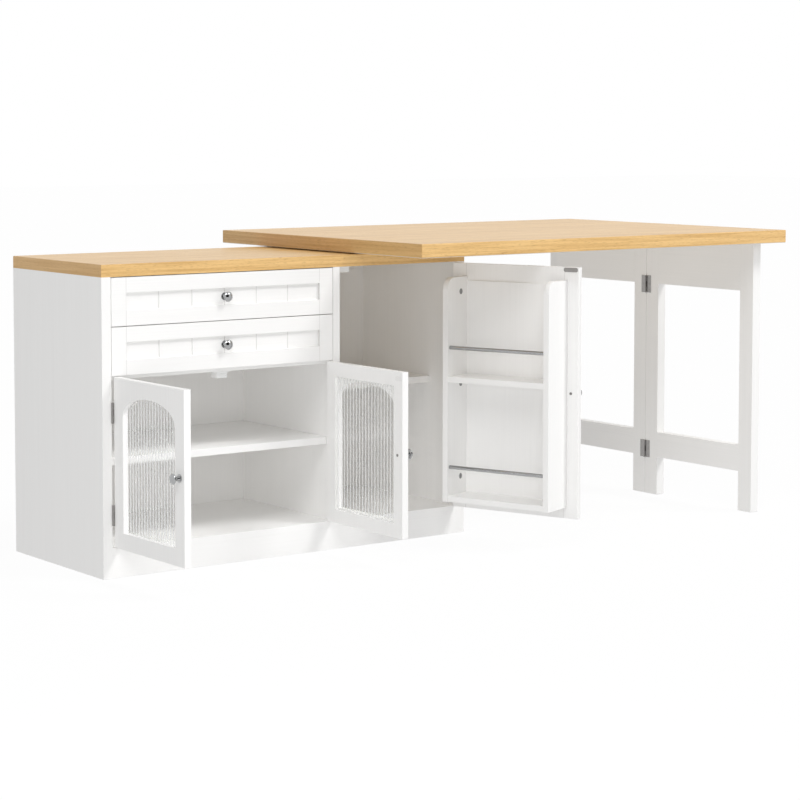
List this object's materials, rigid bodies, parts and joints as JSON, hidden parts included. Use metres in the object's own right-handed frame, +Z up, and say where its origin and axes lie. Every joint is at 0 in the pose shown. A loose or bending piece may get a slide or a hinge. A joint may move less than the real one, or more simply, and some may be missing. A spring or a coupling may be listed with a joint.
{
  "type": "bar cabinet with swivelling table",
  "caption": "White bar cabinet with drawers, arched fluted-glass doors, a tall door with a bottle rack, and a swivelling oak table on a folding leg frame.",
  "frame": {"origin": "on the floor, at the middle of the whole object's outline with its doors open and its table drawn out", "axes": "+X along the cabinet to the table's far end, +Y to the back, +Z up"},
  "size_m": [1.998, 0.993, 0.788],
  "materials": {
    "white_paint": "satin white lacquer on fibreboard",
    "white_panel": "white-faced thin board",
    "oak_board": "clear matt oak",
    "fluted_glass": "clear reeded glass",
    "chrome": "polished",
    "steel": "plain zinc plate",
    "painted_steel": "white enamel on steel plate",
    "zinc": "die-cast zinc",
    "white_plastic": "moulded, plain",
    "felt": "pressed felt"
  },
  "bodies": {
    "cabinet": {"left_side_panel": "white_paint", "right_side_panel": "white_paint", "centre_partition": "white_paint", "floor_panel": "white_paint", "plinth_board": "white_paint", "rear_plinth_rail": "white_paint", "back_panel": "white_panel", "drawer_divider": "white_paint", "cabinet_top": "oak_board", "left_shelf": "white_paint", "right_shelf": "white_paint", "shelf_pins": "steel", "magnetic_catches": "white_plastic", "drawer_runners": "steel", "door_hinge_fixed_leaves": "steel", "door_hinge_pins": "steel", "pivot_bolt": "steel", "glide_pads": "felt"},
    "upper_drawer": {"upper_drawer_front": "white_paint", "upper_drawer_sides": "white_paint", "upper_drawer_back": "white_paint", "upper_drawer_bottom": "white_paint", "upper_drawer_slides": "steel", "upper_drawer_knob": "chrome"},
    "lower_drawer": {"lower_drawer_front": "white_paint", "lower_drawer_sides": "white_paint", "lower_drawer_back": "white_paint", "lower_drawer_bottom": "white_paint", "lower_drawer_slides": "steel", "lower_drawer_knob": "chrome"},
    "left_door": {"left_door_frame": "white_paint", "left_door_glass": "fluted_glass", "left_door_knob": "chrome", "left_door_strike": "painted_steel", "left_door_hinge_leaves": "steel"},
    "right_door": {"right_door_frame": "white_paint", "right_door_glass": "fluted_glass", "right_door_knob": "chrome", "right_door_strike": "painted_steel", "right_door_hinge_leaves": "steel"},
    "tall_door": {"tall_door_panel": "white_paint", "tall_door_knob": "chrome", "tall_door_strike": "steel", "tall_door_hinge_leaves": "steel", "rack_sides": "white_paint", "rack_back": "white_paint", "rack_shelves": "white_paint", "rack_rods": "chrome", "rack_cam_locks": "zinc"},
    "table": {"table_top": "oak_board", "pivot_bush": "white_plastic", "far_leaf_legs": "white_paint", "far_leaf_rails": "white_paint", "leaf_brackets": "steel", "fold_hinge_fixed_leaves": "steel", "fold_hinge_pins": "steel"},
    "near_leaf": {"near_leaf_legs": "white_paint", "near_leaf_rails": "white_paint", "fold_hinge_moving_leaves": "steel"}
  },
  "joints": [
    {"name": "upper_drawer_slide", "type": "slide", "parent": "cabinet", "child": "upper_drawer", "axis": [0, -1, 0], "range_m": [0, 0.28]},
    {"name": "lower_drawer_slide", "type": "slide", "parent": "cabinet", "child": "lower_drawer", "axis": [0, -1, 0], "range_m": [0, 0.28]},
    {"name": "left_door_hinge", "type": "hinge", "parent": "cabinet", "child": "left_door", "pos_m": [-0.9731, -0.13266, 0.2789], "axis": [0, 0, -1], "range_deg": [-90, 20]},
    {"name": "right_door_hinge", "type": "hinge", "parent": "cabinet", "child": "right_door", "pos_m": [-0.3334, -0.13266, 0.2789], "axis": [0, 0, 1], "range_deg": [-90, 20]},
    {"name": "tall_door_hinge", "type": "hinge", "parent": "cabinet", "child": "tall_door", "pos_m": [0.0631, -0.13266, 0.39675], "axis": [0, 0, 1], "range_deg": [-110, 0]},
    {"name": "table_swivel", "type": "hinge", "parent": "cabinet", "child": "table", "pos_m": [-0.109, 0.04204, 0.75], "axis": [0, 0, 1], "range_deg": [-180, 0]},
    {"name": "leg_frame_fold", "type": "hinge", "parent": "table", "child": "near_leaf", "pos_m": [0.9153, 0.06304, 0.1315], "axis": [0, 0, -1], "range_deg": [0, 180]}
  ]
}
